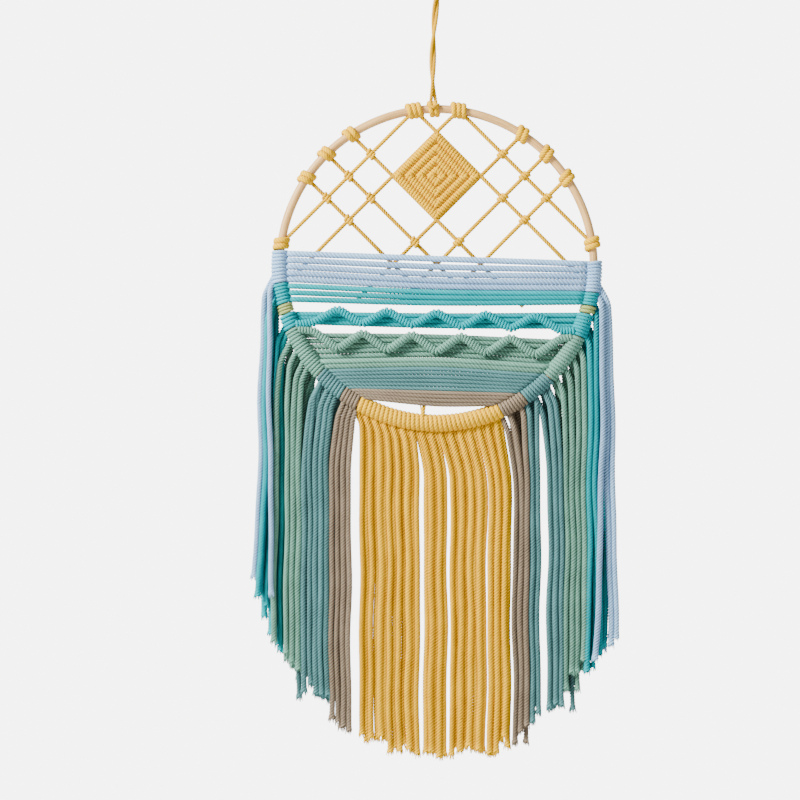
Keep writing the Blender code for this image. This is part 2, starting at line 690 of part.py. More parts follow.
def hanging_loop():
    """Lark's head on the hoop, two cords twisted round each other, a knot and the loop over the nail."""
    work = Knotwork()
    start = math.radians(LARKS_HEAD_ANGLE - LARKS_HEAD_SPAN)
    stop = math.radians(LARKS_HEAD_ANGLE + LARKS_HEAD_SPAN)
    ridges = work.sleeve(start, stop, 2)
    face = ridges[0][1]["outer"]
    foot = face_middle(face)
    port = work.open_port(face)
    up = Vector((0, 0, 1))
    bottom = foot.z + 0.004
    loops = []
    for i in range(TWIST_STEPS + 1):
        share = i / TWIST_STEPS
        z = bottom + (TWIST_TOP - bottom) * share
        turn = math.pi * (z - bottom) / TWIST_TURN
        side = Vector((math.cos(turn), math.sin(turn), 0))
        across = up.cross(side)
        angles = (math.tau * corner / 6 for corner in range(6))
        middle = Vector((foot.x * (1 - share), 0, z))
        loops.append(work.loop([middle + side * TWIST_WIDE * math.cos(a) + across * TWIST_NARROW * math.sin(a)
                                for a in angles]))
    knot_base = TWIST_TOP + 0.002
    for share, radius in ((0.0, 0.7), (0.25, 1.0), (0.5, 0.82), (0.75, 1.0), (1.0, 0.62)):
        height = knot_base + LOOP_KNOT_HEIGHT * share
        angles = (turn + math.tau * corner / 6 for corner in range(6))
        loops.append(work.loop([Vector((LOOP_KNOT_RADIUS * radius * math.cos(a),
                                        LOOP_KNOT_RADIUS * radius * math.sin(a), height)) for a in angles]))
    work.zip_loops(port, loops[0])
    for near, far in zip(loops, loops[1:]):
        work.skin(near, far)
    top = loops[-1]
    split = min(range(6), key=lambda i: -abs((top[i].co - top[(i + 3) % 6].co).y))
    right = [top[(split + i) % 6] for i in range(4)]
    left = [top[(split + 3 + i) % 6] for i in range(4)]
    if sum(corner.co.x for corner in right) < sum(corner.co.x for corner in left):
        right, left = left, right
    knot_top = top[0].co.z
    side = [Vector((x, 0, knot_top + z)) for x, z in LOOP_SIDE]
    crown = Vector((0, 0, HOOP_DROP + LOOP_HALF))
    route = side + [crown] + [Vector((-point.x, 0, point.z)) for point in side[::-1]]
    work.span(work.mesh.faces.new(right), work.mesh.faces.new(left), [Stop(p, LOOP_HALF) for p in route])
    work.finish("hanging_loop")


def main():
    for old in list(bpy.data.objects):
        bpy.data.objects.remove(old)
    chance = random.Random(12)
    hoop()
    hanging_loop()
    golden_net()
    places = side_places()
    for band in BANDS:
        band_node(band, places, chance)
    for tie in TIES:
        tie_node(*tie)
    golden_fringe(chance)


main()
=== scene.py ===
"""Looks of the round macrame wall hanging: plied cotton cord wound, tied and hung on a wooden hoop.

Lengths are in metres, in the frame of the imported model: +X is the viewer's right, +Z is up and the front
faces -Y. The origin is where the nail bears in the hanging loop. Angles on the hoop run counter-clockwise
from its right side, as the viewer sees them.
"""

import math
import random
from collections import namedtuple

import bpy
import numpy as np
from bpy.props import FloatProperty, FloatVectorProperty, PointerProperty
from bpy.types import Operator, Panel, PropertyGroup
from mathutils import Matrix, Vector


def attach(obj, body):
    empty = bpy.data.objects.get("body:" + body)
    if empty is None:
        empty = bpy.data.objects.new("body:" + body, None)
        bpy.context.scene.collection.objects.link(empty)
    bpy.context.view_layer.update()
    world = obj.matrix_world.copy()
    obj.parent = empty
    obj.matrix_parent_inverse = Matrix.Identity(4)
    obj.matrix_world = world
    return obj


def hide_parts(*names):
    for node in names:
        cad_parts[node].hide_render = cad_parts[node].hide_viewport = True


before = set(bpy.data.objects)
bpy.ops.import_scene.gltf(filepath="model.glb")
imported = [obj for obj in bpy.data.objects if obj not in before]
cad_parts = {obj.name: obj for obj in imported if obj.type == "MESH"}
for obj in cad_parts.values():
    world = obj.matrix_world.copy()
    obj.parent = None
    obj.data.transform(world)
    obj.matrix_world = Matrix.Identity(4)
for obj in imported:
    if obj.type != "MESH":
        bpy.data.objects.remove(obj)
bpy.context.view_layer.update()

bl_info = {
    "name": "Round Macrame Hanging",
    "version": (1, 0, 0),
    "blender": (4, 5, 0),
    "location": "View3D > Sidebar > Macrame",
    "description": "Dresses the packed wall hanging with plied cord, wood and a studio",
    "category": "Object",
}


# ---------------- hoop

HOOP_HEIGHT = -0.286
HOOP_RADIUS = 0.1454
WOOD_RADIUS = 0.0044
HOOP_STEPS, WOOD_STEPS = 168, 18
# Distance between points along an arc of the hoop, and the fewest points of an arc or of a turn of a coil.
ARC_STEP, FEWEST_POINTS = 0.0012, 8
# Faces that look towards the hoop's middle, how far they move along their normals, and the smoothing after it.
INNER_SIDE, INNER_SHIFT, WOOD_SMOOTHING = -0.85, -0.0005, 0.4

# A winding: distance from its spine to the wound cord's middle, length of a turn along the spine, the cord's
# thickness, and how far the winding is flattened from front to back.
Winding = namedtuple("Winding", "reach pitch thickness flatten", defaults=(1.0,))
LARKS_HEAD = Winding(WOOD_RADIUS + 0.0017, 0.0045, 0.0036)
HOOP_TIE = Winding(WOOD_RADIUS + 0.0017, 0.0052, 0.0036)
OLIVE_TIE = Winding(WOOD_RADIUS + 0.0017, 0.0030, 0.0036)
BAND_WRAP = Winding(WOOD_RADIUS + 0.0019, 0.0032, 0.0038)
NET_KNOT = Winding(0.0027, 0.0029, 0.0030, 0.85)
MEDALLION_HITCHES = Winding(0.0026, 0.0029, 0.0031, 0.9)
ZIGZAG_HITCHES = Winding(0.0027, 0.0028, 0.0030, 0.85)


# ---------------- bands

# One row for each colour that winds the hoop on both sides: where it starts and stops below the level line
# on each side, in degrees, its cords, half the thickness of its level cords, and the length of its fringe on
# each side.
Band = namedtuple("Band", "name colour left_from left_to right_from right_to cords half left_fall right_fall")
BANDS = (
    Band("lavender_cords", "lavender", -5.8, 6.2, -1.8, 9.7, 5, 0.0030, 0.294, 0.345),
    Band("turquoise_cords", "turquoise", 6.2, 13.9, 9.7, 14.6, 3, 0.0028, 0.288, 0.322),
    Band("turquoise_band", "turquoise", 17.6, 23.3, 17.6, 26.5, 4, 0.0028, 0.292, 0.314),
    Band("sage_cords", "sage", 23.3, 42.5, 26.5, 44.9, 8, 0.0026, 0.286, 0.292),
    Band("dusty_teal_cords", "dusty_teal", 42.5, 53.4, 44.9, 56.4, 6, 0.00205, 0.286, 0.293),
    Band("taupe_cords", "taupe", 53.4, 60.1, 56.4, 66.3, 4, 0.0021, 0.299, 0.302),
)
TIES = (("olive_tie_left", 193.9, 197.6), ("olive_tie_right", -17.6, -14.6))
# Bare wood left at each end of a winding, in degrees.
BAND_MARGIN, TIE_MARGIN = 0.15, 0.2

# Level cords in front of the wood and behind its middle: the height of each over the hoop's centre, at the
# middle, by the cord's place on the hoop, then their depth, and where round the wood they leave it.
LEVELS = (({
    "lavender_cords": {0: 0.0063, 1: -0.0011, 2: -0.0079, 3: -0.0139, 4: -0.0191},
    "turquoise_cords": {0: -0.0245, 1: -0.0295, 2: -0.0344},
    "sage_cords": {6: -0.0873, 7: -0.0914},
    "dusty_teal_cords": {0: -0.0952, 1: -0.0989, 2: -0.1026, 3: -0.1063, 4: -0.1100, 5: -0.1137},
    "taupe_cords": {0: -0.1173, 1: -0.1209, 2: -0.1245, 3: -0.1281},
}, -0.0054, math.pi * 1.07), ({
    "turquoise_band": {0: -0.0460, 1: -0.0505, 2: -0.0550},
    "sage_cords": {1: -0.0655, 2: -0.0695, 3: -0.0735, 4: -0.0775, 5: -0.0822},
}, 0.0024, math.pi * 0.80))
CORD_TILT = math.radians(1.85)
# How far from the wood a level cord heads straight, and the share of its depth that it has there.
LEVEL_LEAD, LEAD_DEPTH = 0.0090, 0.85
# Length in which a ply of a stretched cord goes round, as a share of that of a hanging one.
LEVEL_TWIST = 1.3
# Distance from the wood's middle to that of a cord that leaves it.
ROOT_REACH = 0.0045

# Zigzag bars: the cord each starts from, and the heights of its ends and of its turns.
Zigzag = namedtuple("Zigzag", "cord corner turn")
ZIGZAGS = {"turquoise_band": Zigzag(3, -0.0562, -0.0427), "sage_cords": Zigzag(0, -0.0637, -0.0798)}
DIAMONDS, DIAMOND_WIDTH = 5, 0.0456
ZIGZAG_DEPTH = -0.0041
ZIGZAG_LEAVES, ZIGZAG_ROOT = math.pi * 1.25, 0.0062
# Where the bar bends before and after a turn, and how far it cuts the turn, as shares of a run.
BEND_SHARE, CUT_SHARE = 0.16, 0.03
ZIGZAG_STEP = 0.0007


# ---------------- fringe

# Side fringe at the middle height, from the outermost strand inwards: a colour's letter for each place in each
# layer. Then the front strands that cross others: how far out each drifts besides, and its depth.
LETTERS = {"L": ("lavender_cords",), "T": ("turquoise_cords", "turquoise_band"), "S": ("sage_cords",),
           "D": ("dusty_teal_cords",), "B": ("taupe_cords",)}
Side = namedtuple("Side", "sign outermost pitch drift drift_places front middle back rear crossing")
SIDES = {
    "left": Side(-1, 0.1642, 0.00517, 0.0038, 8, "LTLS.SSSDDDDDBBBB", ".TTTTSSD.........",
                 "LLLTTS.S.........", ".TTTSSSSSDDDDDBB.",
                 {0: (0.0008, 0.0010), 1: (0.0025, -0.0024), 2: (-0.0052, -0.0064)}),
    "right": Side(1, 0.1629, 0.00533, -0.0018, 8, "LLLTTSSSSDDD.DDBBB", ".TTT.SSD.......B..",
                  "LL.TTSS...........", ".TTTTSSSSDD..DDBB.",
                  {0: (0.0045, -0.0024), 1: (0.0055, -0.0024), 2: (-0.0044, -0.0068),
                   3: (0.0058, -0.0024), 4: (-0.0014, -0.0024)}),
}
# Layers of the fringe: where round the wood a strand leaves it, its depth, its thickness as a share of a
# cord's, the mesh points of a ply, its clearance of the hoop, how many places inwards it is shifted, and how
# many cords further up the hoop it leaves it.
Layer = namedtuple("Layer", "turn depth full sides clear shift rise", defaults=(1, 3, 0, 0, 0))
LAYERS = {"front": Layer(0.7, -0.0024, 1, 3, 0.0099), "middle": Layer(1.1, 0.0020, 1, 2, 0.0100, 0, 0.3),
          "back": Layer(1.45, 0.0064, 1, 2, 0.0070, 0, 0.7),
          "rear": Layer(1.6, 0.0088, 1.25, 2, 0.0052, 0.5, 0.9)}
MIDDLE_HEIGHT = -0.198
LENGTH_SPREAD, END_SPREAD = 0.0065, 0.0006
# Just under its winding: a strand's share of the way from the hoop's rim to its place, what is added to it
# where the hoop is steep, and how fast that fades down the hoop.
TOP_SHARE, STEEP_SHARE, STEEP_POWER = 0.5, 0.4, 6
# How far down its winding a strand near the level line runs behind it, as a share, how fast that fades down the
# hoop, and how much lower than its own cord every strand leaves the hoop.
TUCK_SHARE, LEVEL_POWER, LEAVE_DROP = 0.65, 24, math.radians(1.0)
# A strand's way out from the wood, its first fall, and how far it falls for each step sideways.
WAY_OUT, FIRST_FALL, FALL_SLOPE = 0.0055, 0.0050, 1.8

# Golden fringe: clumps of strands between small gaps, and its winding along the bottom of the hoop.
Clump = namedtuple("Clump", "first last strands")
CLUMPS = (Clump(-0.0692, -0.0180, 13), Clump(-0.0095, 0.0070, 5), Clump(0.0142, 0.0435, 8),
          Clump(0.0492, 0.0663, 6))
GOLD_FROM, GOLD_TO = 240.5, 293.7
GOLD_FALL = 0.3015
GOLD_LAYERS = (Layer(0.5, 0.0000, 1.04), Layer(0.8, 0.0023, 1.04))
GOLD_PITCH = math.radians(GOLD_TO - GOLD_FROM) * HOOP_RADIUS / sum(clump.strands for clump in CLUMPS)
GOLD_WRAP = Winding(WOOD_RADIUS + 0.0019, GOLD_PITCH, 0.0040)
GOLD_TOP_SHARE = 0.35

# Little tuft that stands up from the golden winding: its foot, its stub, and the fibres at its tip with how far
# round it they stand, how high, and how far they lean.
TUFT_ANGLE, TUFT_RADIUS, TUFT_DEPTH = math.radians(264.7), HOOP_RADIUS - 0.0050, -0.0040
TUFT_STUB = ((0, 0, 0), (0.0002, 0, 0.0045), (0, 0, 0.0085))
TUFT_STEP, TUFT_FRAY = 0.001, 0.006
TUFT_FOOT_HALF, TUFT_TIP_HALF = 0.0019, 0.0024
TUFT_FIBRES = 9
TUFT_FIBRE_HALF = np.array((0.0007, 0.0006, 0.0003))
TUFT_ROUND, TUFT_HEIGHT = (0.0018, 0.0014), 0.007
TUFT_LEAN = ((0, 0), (0.0002, 0.003), (0.0004, 0.0045))


# ---------------- net

# Golden net: cords at 45 degrees, named by where they cross the middle line.
FALLING, RISING = np.array((1, 0, -1)) / math.sqrt(2), np.array((1, 0, 1)) / math.sqrt(2)
MEDALLION_HEIGHT, MEDALLION_REACH, MEDALLION_ROWS = 0.08335, 0.0407, 4
# Where the outer row lies, as a share of a row's width, how far rows overlap at the corners, their half
# thickness, and that of the low rows between them with how far back they lie.
FIRST_ROW, ROW_OVERLAP, ROW_HALF = 0.42, 0.0016, 0.0022
LOW_ROW_HALF, LOW_ROW_BACK = 0.0026, 0.0012
ROW_STEP = 0.0008
NET_HEIGHTS = {name: MEDALLION_HEIGHT + MEDALLION_REACH * step for name, step in (
    ("outer", 2), ("edge", 1), ("lower", -1), ("low", -2), ("lowest", -3))}
NET_HALF, NET_POINTS = 0.00195, 12
# Heights between which the falling (1) and rising (-1) cords go back behind the level cords, and how far.
# A loose end stops at a height behind the turquoise cords.
NET_DIP_FROM, NET_DIP_TO = 0.022, 0.008
NET_DIP = {1: 0.0032, -1: 0.0072}
NET_END = -0.0350
KNOT_HALF, KNOT_STEP = 0.0043, 0.0006
TOP_KNOT_ANGLE, SIDE_KNOT_ANGLE = 81.9, 8.26
# Half length of a tie on the hoop, in degrees, near the top and elsewhere.
TOP_TIE_HALF, TIE_HALF, TOP_TIE_RANGE = 2.7, 2.1, 10
# Falling cords from the top down: the hoop's angle a cord starts from where that isn't on its own line, the
# rising cords it is knotted with, and how far out its loose end lies. The rising cords mirror them.
Diagonal = namedtuple("Diagonal", "line start knots end_x")
DIAGONALS = (
    Diagonal("outer", TOP_KNOT_ANGLE, ("lower", "low", "lowest"), None),
    Diagonal("edge", 180 - TOP_KNOT_ANGLE, ("low", "lowest"), 0.1342),
    Diagonal("lower", None, ("outer", "low"), 0),
    Diagonal("low", None, ("outer", "edge", "lower"), 0),
    Diagonal("lowest", None, ("outer", "edge"), 0),
)


# ---------------- hanging cord

# Lark's head on the hoop, and the bridge of cord in front of it.
LARKS_HEAD_ANGLE, LARKS_HEAD_HALF = 91.2, 1.8
BRIDGE = ((-0.0043, -0.0036, 0.0034), (-0.0026, -0.0074, 0.0014), (0.0, -0.0088, 0.0008),
          (0.0026, -0.0074, 0.0014), (0.0043, -0.0036, 0.0034))
# Twisted pair: its foot over the hoop, its top, its way into the knot, the height of half a turn, the distance
# of each cord from the pair's middle, what the foot adds to it, and how far the pair bows sideways.
TWIST_FOOT, TWIST_TOP, TWIST_OVER, TWIST_TURN = 0.004, 0.2455, 0.003, 0.043
TWIST_SPREAD, TWIST_SPLAY, TWIST_BOW = 0.0016, 0.0009, 0.0020
SPLAY_PARTS, TWIST_POINTS, TWIST_HALF = 8, 90, 0.00175
# Knot: its middle over the twist's top, and its size across and up.
KNOT_RISE, KNOT_ACROSS, KNOT_UP = 0.0078, 0.00112, 0.0026
KNOT_POINTS, KNOT_CORD_HALF = 70, 0.0021
# Loop: its foot over the knot's middle, its right half from there up, and its top over the nail.
LOOP_RISE, LOOP_TOP, LOOP_HALF = 0.0030, 0.0017, 0.0019
LOOP_SIDE = ((0.0012, 0.0010), (0.0034, 0.0065), (0.0062, 0.0140), (0.0068, 0.0220), (0.0046, 0.0288))


# ---------------- finish

PLIES = 4
# How many of the cord map's lengthwise units, millimetres, a metre has.
MAP_UNITS = 1000
# How bright the painted shade in the grooves between the plies is, as a share of the cord's colour.
PAINTED_GROOVE_SHADE = {"gold": 0.34, "lavender": 0.25, "turquoise": 0.40, "sage": 0.12, "dusty_teal": 0.18, "taupe": 0.20,
           "olive": 0.22}
# Share of red, green and blue that the darker parts keep: on cotton the painted shade between the plies and the
# darker strands, on wood the darker grain.
COTTON_SHADE, WOOD_SHADE = (1.0, 0.90, 0.80), (1.0, 0.86, 0.7)
SEEDS = {"hanging_cord": 3, "net_cords": 5, "net_knots": 7, "net_medallion": 11, "on_hoop": 13, "fringe": 17,
         "winding": 19, "larks_heads": 23, "golden_strands": 31, "side_cuts": 12, "golden_cuts": 29}

LENS, SENSOR = 97.2, 36
CAMERA_PLACE = (-0.034, -2.0, -0.410)
FLOOR_SIZE, FLOOR_HEIGHT = 5, -1.6
LIGHTS_AIM = (0, 0, -0.4)
# Lights: name, place, size, power and colour.
LAMPS = (("window", (-2.15, -1.5, 1.1), 0.9, 335, (1.0, 0.99, 0.97)),
         ("fill", (2.2, -1.8, 0.1), 2.0, 22, (0.97, 0.985, 1.0)),
         ("behind", (0.8, 2.2, 0.8), 1.8, 60, (1.0, 1.0, 1.0)))
# Strength of the backdrop as a light, and what is added where it is seen directly.
BACKDROP_COLOUR = (1.0, 1.0, 0.995)
BACKDROP_LIGHT, BACKDROP_SEEN = 0.45, 5.75


# ---------------- paths


def spot(x, y, z):
    """Point given about the hoop's centre."""
    return np.array((x, y, z + HOOP_HEIGHT))


def on_hoop(angle, radius=HOOP_RADIUS, depth=0.0):
    """Point in the hoop's plane at an angle in radians and a radius, and a depth behind that plane."""
    return spot(radius * math.cos(angle), depth, radius * math.sin(angle))


def round_wood(angle, turn, reach):
    """Point beside the wood: turn 0 is its outer side, turn pi its inner side and 1.5 pi its front."""
    return on_hoop(angle, HOOP_RADIUS + reach * math.cos(turn), reach * math.sin(turn))


def smooth_path(points, step):
    """Even points along a smooth curve through the given ones."""
    p = np.array(points, float)
    gaps = np.linalg.norm(np.diff(p, axis=0), axis=1)
    t = np.concatenate(([0], np.cumsum(gaps)))
    slopes = np.diff(p, axis=0) / gaps[:, None]
    m = np.empty_like(p)
    m[0], m[-1] = slopes[0], slopes[-1]
    weight = (gaps[:-1] / (gaps[:-1] + gaps[1:]))[:, None]
    m[1:-1] = slopes[:-1] * weight + slopes[1:] * (1 - weight)
    u = np.linspace(0, t[-1], max(3, round(t[-1] / step) + 1))
    i = np.clip(np.searchsorted(t, u, side="right") - 1, 0, len(gaps) - 1)
    h = gaps[i][:, None]
    s = ((u - t[i]) / gaps[i])[:, None]
    return ((2 * s ** 3 - 3 * s ** 2 + 1) * p[i] + (s ** 3 - 2 * s ** 2 + s) * h * m[i]
            + (3 * s ** 2 - 2 * s ** 3) * p[i + 1] + (s ** 3 - s ** 2) * h * m[i + 1])


def hoop_arc(start, stop):
    """Points along the hoop's middle between two angles in degrees."""
    count = max(FEWEST_POINTS, round(abs(math.radians(stop - start)) * HOOP_RADIUS / ARC_STEP))
    return np.array([on_hoop(math.radians(a)) for a in np.linspace(start, stop, count)])


def directions(path, axis):
    """For each point of a path its way, and two directions square to it, the first nearest to an axis."""
    way = np.gradient(path, axis=0)
    way /= np.linalg.norm(way, axis=1)[:, None]
    side = np.broadcast_to(np.asarray(axis, float), path.shape)
    side = side - (side * way).sum(1)[:, None] * way
    side /= np.linalg.norm(side, axis=1)[:, None]
    return way, side, np.cross(way, side)


def lengths(path):
    """Length of a path up to each of its points."""
    return np.concatenate(([0], np.cumsum(np.linalg.norm(np.diff(path, axis=0), axis=1))))


# ---------------- cord


def tube_faces(rows, columns, along):
    """Faces of a closed tube of rings, and for each of their corners its place on the cord's map."""
    row, column = np.meshgrid(np.arange(rows - 1), np.arange(columns), indexing="ij")
    up = np.stack((row, row, row + 1, row + 1), axis=2).reshape(-1, 4)
    on = np.stack((column, column + 1, column + 1, column), axis=2).reshape(-1, 4)
    quads = up * columns + on % columns
    maps = np.stack((on / columns, along[up] * MAP_UNITS), axis=2)
    fans = np.array([(0, 2 * k + 1, 2 * k + 2, 2 * k + 3) for k in range((columns - 2) // 2)])
    end = np.repeat((0, rows - 1), len(fans))[:, None]
    fans = np.concatenate((fans[:, ::-1], fans))
    caps = fans + end * columns
    cap_maps = np.stack(np.broadcast_arrays(fans / columns, along[end] * MAP_UNITS), axis=2)
    return np.concatenate((quads, caps)), np.concatenate((maps, cap_maps)).reshape(-1, 2)


class Cordage:
    """Plied cords gathered ring by ring and made one mesh.

    Every ply of a cord is a lobe of its section, which turns as it goes along. The UV map's first number
    goes once round the section with the plies and its second counts millimetres along the cord.
    """

    # Reach of each mesh point of a ply, by how many it has.
    LOBES = {2: (0.76, 1.0), 3: (0.72, 1.0, 1.0)}
    # Share of the lobes' depth that a taut cord loses, how taut a wound cord is, and its width as a share of
    # its turn, so that the turns touch.
    PRESSED, WOUND, TURN_OVERLAP = 0.6, 0.8, 1.12
    # Sway that neighbours share: waves with their size, their counts down and across, and their start. Then the
    # share that is each strand's own, by axis, its waves, and the length over which a strand starts to sway.
    SWAY_WAVES = ((1, 38, 31, 0), (0.6, 71, -44, 1.7))
    OWN_SWAY, OWN_WAVES, SWAY_FROM = ((0, 0.35), (1, 0.5)), (1.5, 3.5), 0.06
    # Spread of the strands' thickness, how much a strand swells at its cut end, and the fibres that stand out
    # of it: their length as a share of the fray, and how far they lean out up to their bend and beyond it.
    HALF_SPREAD, SWELL, SWELL_POWER = (0.95, 1.07), 0.20, 1.5
    FIBRES, FIBRE_TURN, FIBRE_ROOT, FIBRE_BEND = 11, 2.4, 0.0025, 0.6
    FIBRE_LENGTH, LEAN_TO_BEND, LEAN_TO_TIP = (0.45, 0.85), (0.02, 0.14), (-0.05, 0.22)
    FIBRE_HALF, FIBRE_TWIST = np.array((0.00072, 0.00060, 0.00022)), 0.05

    def __init__(self, kind):
        self.sizes = bpy.context.scene.hanging_sizes
        self.chance = random.Random(SEEDS[kind])
        self.laid, self.count = [], 0

    def lay(self, path, reach, width=None, axis=(0, 1, 0), plies=PLIES, sides=3, tone=None, end=None,
            twist=None, taut=0.0):
        """A cord along a path. reach is its half thickness, width its half width towards the axis, twist the
        length in which a ply goes once round. A taut cord is smoother, with its plies pressed together."""
        path = np.asarray(path)
        rows, columns = len(path), plies * sides
        _, side, rise = directions(path, axis)
        along = lengths(path)
        first = self.chance.uniform(0, math.tau)
        turn = (first + math.tau * along / (twist or self.sizes.lay))[:, None]
        turn = turn + math.tau * np.arange(columns)[None, :] / columns
        lobes = 1 - (1 - np.tile(self.LOBES[sides], plies)[None, :]) * (1 - self.PRESSED * taut)
        reach = np.broadcast_to(reach, rows)[:, None]
        width = reach if width is None else np.broadcast_to(width, rows)[:, None]
        ring = (path[:, None, :] + side[:, None, :] * (width * lobes * np.cos(turn))[:, :, None]
                + rise[:, None, :] * (reach * lobes * np.sin(turn))[:, :, None])
        faces, maps = tube_faces(rows, columns, along)
        tone = self.chance.uniform(-1, 1) if tone is None else tone
        tip = np.zeros(rows) if end is None else np.clip(1 - (along[-1] - along) / end, 0, 1)
        count = rows * columns
        self.laid.append((ring.reshape(-1, 3), faces + self.count, maps, np.full(count, tone),
                          np.repeat(tip, columns), np.full(count, taut)))
        self.count += count

    def smooth(self, points):
        """Smooth path through points, as even as the rings of the mesh."""
        return smooth_path(points, self.sizes.step)

    def coil(self, spine, winding, sides=2):
        """A cord wound closely round a spine, as a row of hitches winds its carrier."""
        length = lengths(spine)
        turns = max(1, round(length[-1] / winding.pitch))
        count = max(FEWEST_POINTS, round(math.tau * winding.reach / self.sizes.step)) * turns + 1
        at = np.linspace(0, length[-1], count)
        middle = np.stack([np.interp(at, length, spine[:, k]) for k in range(3)], axis=1)
        way, side, rise = directions(middle, (0, 1, 0))
        angle = np.linspace(0, math.tau * turns, count)[:, None]
        path = (middle + side * np.cos(angle) * winding.reach * winding.flatten
                + rise * np.sin(angle) * winding.reach)
        width = length[-1] / turns / 2 * self.TURN_OVERLAP
        self.lay(path, winding.thickness / 2, width=width, axis=way, sides=sides, tone=1.0, taut=self.WOUND)

    def strand(self, points):
        """A strand that hangs: it wanders a little, much as its neighbours do."""
        path = self.smooth(points)
        along = lengths(path)
        ease = np.clip(along / self.SWAY_FROM, 0, 1) ** 2
        x, z = path[:, 0].copy(), path[:, 2].copy()
        path[:, 0] += ease * self.sizes.sway * sum(
            size * np.sin(z * down + x * across + start) for size, down, across, start in self.SWAY_WAVES)
        for axis, share in self.OWN_SWAY:
            phase, waves = self.chance.uniform(0, math.tau), self.chance.uniform(*self.OWN_WAVES)
            path[:, axis] += ease * self.sizes.sway * share * np.sin(
                phase + math.tau * waves * along / along[-1])
        return path

    def fibre(self, points, half):
        """A loose fibre at a cut end, ever thinner."""
        self.lay(points, half, plies=2, sides=2, end=1.0, twist=self.FIBRE_TWIST)

    def hanging(self, points, layer):
        """A fringe strand: its plies open a little at the cut end and let some fibres stand out."""
        path = self.strand(points)
        along = lengths(path)
        fray = self.sizes.fray
        reach = self.sizes.cord * layer.full * self.chance.uniform(*self.HALF_SPREAD)
        open_end = np.clip(1 - (along[-1] - along) / fray, 0, 1)
        self.lay(path, reach * (1 + self.SWELL * open_end ** self.SWELL_POWER), sides=layer.sides, end=fray)
        way = path[-1] - path[-4]
        way /= np.linalg.norm(way)
        _, side, rise = directions(path[-3:], (1, 0, 0))
        for number in range(self.FIBRES):
            angle = self.FIBRE_TURN * number + self.chance.random()
            out = side[-1] * math.cos(angle) + rise[-1] * math.sin(angle)
            root = path[-1] - way * self.FIBRE_ROOT + out * reach * math.sqrt((number + 0.5) / self.FIBRES)
            length = fray * self.chance.uniform(*self.FIBRE_LENGTH)
            lean = out * length * self.chance.uniform(*self.LEAN_TO_BEND)
            bend = root + way * length * self.FIBRE_BEND + lean
            lean = out * length * self.chance.uniform(*self.LEAN_TO_TIP)
            tip = bend + way * length * (1 - self.FIBRE_BEND) + lean
            self.fibre([root, bend, tip], self.FIBRE_HALF)

    def finish(self, name, colour, node):
        """Makes the mesh, in its colour, and hides the model's part for the node it stands for."""
        points, faces, maps, *rest = [np.concatenate(part) for part in zip(*self.laid)]
        data = bpy.data.meshes.new(name)
        data.from_pydata(points, [], faces)
        data.uv_layers.new(name="CordMap").data.foreach_set("uv", maps.astype(np.float32).ravel())
        for label, values in zip(("tone", "cut_end", "taut"), rest):
            attribute = data.attributes.new(label, "FLOAT", "POINT")
            attribute.data.foreach_set("value", values.astype(np.float32))
        piece = bpy.data.objects.new(name, data)
        bpy.context.collection.objects.link(piece)
        bpy.ops.object.select_all(action="DESELECT")
        piece.select_set(True)
        bpy.context.view_layer.objects.active = piece
        bpy.ops.object.shade_smooth()
        data.materials.append(yarn(colour))
        place(piece, f"{colour}_cotton", node)


def place(piece, slot, node):
    """Puts a piece on the hanging's one body and hides the model's part for the node it stands for. The slot is
    not used.
    """
    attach(piece, "root")
    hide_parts(node)


# ---------------- materials


class Wire:
    """A shader socket that takes part in sums. Each operator adds its Math node."""

    def __init__(self, tree, socket=None):
        self.tree, self.socket = tree, socket

    def node(self, kind, settings=(), output=0, **values):
        """A new node of a kind: its settings, then its inputs' values or links. Gives one of its outputs.
        An input is named, or numbered as in i0."""
        made = self.tree.nodes.new(kind)
        for key, value in dict(settings).items():
            setattr(made, key, value)
        for key, value in values.items():
            fed = made.inputs[int(key[1:]) if key[1:].isdigit() else key]
            if isinstance(value, Wire):
                value.feed(fed)
            else:
                fed.default_value = value
        return Wire(self.tree, made.outputs[output])

    def feed(self, socket):
        self.tree.links.new(self.socket, socket)

    def math(self, operation, *values):
        inputs = {f"i{number}": value for number, value in enumerate(values)}
        return self.node("ShaderNodeMath", {"operation": operation}, **inputs)

    def __add__(self, other):
        return self.math("ADD", self, other)

    def __sub__(self, other):
        return self.math("SUBTRACT", self, other)

    def __rsub__(self, other):
        return self.math("SUBTRACT", other, self)

    def __mul__(self, other):
        return self.math("MULTIPLY", self, other)

    def __pow__(self, other):
        return self.math("POWER", self, other)

    __radd__ = __add__
    __rmul__ = __mul__

    def cosine(self):
        return self.math("COSINE", self)

    def kept(self):
        """The number, kept between 0 and 1."""
        made = self.math("ADD", self, 0.0)
        made.socket.node.use_clamp = True
        return made

    def parts(self):
        """The three numbers of a vector."""
        made = self.node("ShaderNodeSeparateXYZ", Vector=self)
        return [Wire(self.tree, socket) for socket in made.socket.node.outputs]

    def mixed(self, share, first, second):
        """A colour between two."""
        return self.node("ShaderNodeMix", {"data_type": "RGBA"}, 2, i0=share, i6=first, i7=second)

    def flat_noise(self, x, y, detail, roughness=0.5):
        """Noise on two numbers that follow the surface."""
        at = self.node("ShaderNodeCombineXYZ", X=x, Y=y)
        return self.node("ShaderNodeTexNoise", {"noise_dimensions": "2D"}, Vector=at, Scale=1.0, Detail=detail,
                         Roughness=roughness)


def new_material(name, roughness, specular=0.5):
    """A material with its shader, and a Wire that makes nodes in it."""
    material = bpy.data.materials.new(name)
    material.use_nodes = True
    shader = material.node_tree.nodes["Principled BSDF"]
    shader.inputs["Roughness"].default_value = roughness
    shader.inputs["Specular IOR Level"].default_value = specular
    return material, Wire(material.node_tree), shader


def shaded(colour, share, channels):
    """A darker form of a colour, with the share of each channel that it keeps."""
    return (*[channel * share * kept for channel, kept in zip(colour, channels)], 1)


